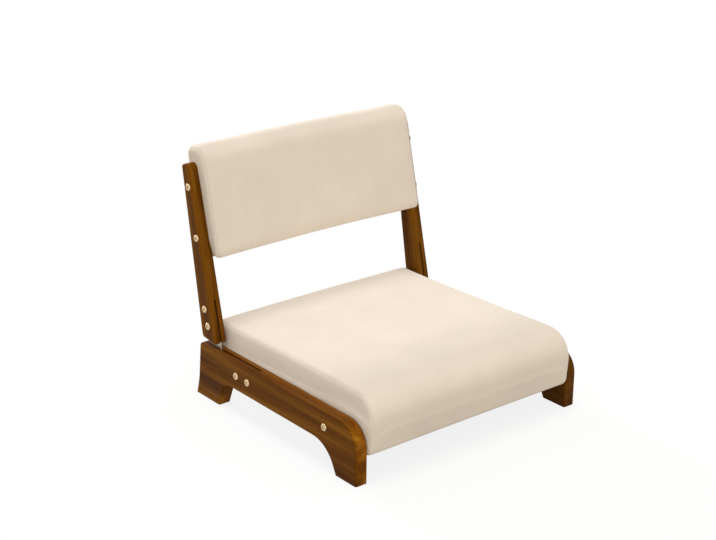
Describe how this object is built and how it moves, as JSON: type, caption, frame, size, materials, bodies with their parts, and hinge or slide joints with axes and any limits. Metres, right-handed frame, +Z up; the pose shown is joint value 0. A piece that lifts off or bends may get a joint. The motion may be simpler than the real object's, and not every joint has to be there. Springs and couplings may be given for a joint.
{
  "type": "folding floor chair",
  "caption": "Low floor chair with dark wooden side panels, a cream upholstered seat with a rounded nose, and a padded backrest that folds forward over the seat.",
  "frame": {"origin": "on the floor, in the middle of the footprint of the whole chair with its backrest upright", "axes": "+Z is up, the sitter faces -Y, and +X is to the right as seen from the front; the chair is the same on both sides of X = 0"},
  "size_m": [0.4644, 0.4714, 0.4231],
  "materials": {
    "walnut_wood": "satin walnut-stained solid wood with straight grain",
    "plain_wood": "unfinished hardwood",
    "plywood": "raw plywood",
    "foam": null,
    "cream_fabric": "finely woven cream upholstery cloth",
    "black_cloth": "thin black non-woven cloth",
    "plate_steel": "bright steel plate",
    "zinc_steel": "zinc-plated steel",
    "brass_fixings": "brass-plated, domed button heads with hexagon sockets"
  },
  "bodies": {
    "base": {"side_panel_left": "walnut_wood", "side_panel_right": "walnut_wood", "front_rail": "plain_wood", "rear_rail": "plain_wood", "seat_board": "plywood", "seat_apron": "plywood", "seat_foam": "foam", "seat_cover": "cream_fabric", "seat_dust_cover": "black_cloth", "seat_screws": "zinc_steel", "pivot_bolts": "brass_fixings", "stop_bolts": "brass_fixings", "front_rail_bolts": "brass_fixings", "front_rail_nuts": "zinc_steel", "front_rail_dowels": "plain_wood", "rear_rail_nuts": "zinc_steel"},
    "backrest": {"back_post_left": "walnut_wood", "back_post_right": "walnut_wood", "hinge_plate_left": "plate_steel", "hinge_plate_right": "plate_steel", "hinge_plate_bolts": "brass_fixings", "back_board": "plywood", "back_board_bolts": "brass_fixings", "back_board_inserts": "brass_fixings", "back_foam": "foam", "back_cover": "cream_fabric"}
  },
  "joints": [
    {"name": "back_fold", "type": "hinge", "parent": "base", "child": "backrest", "pos_m": [0, 0.04811, 0.0695], "axis": [1, 0, 0], "range_deg": [0, 96]}
  ]
}
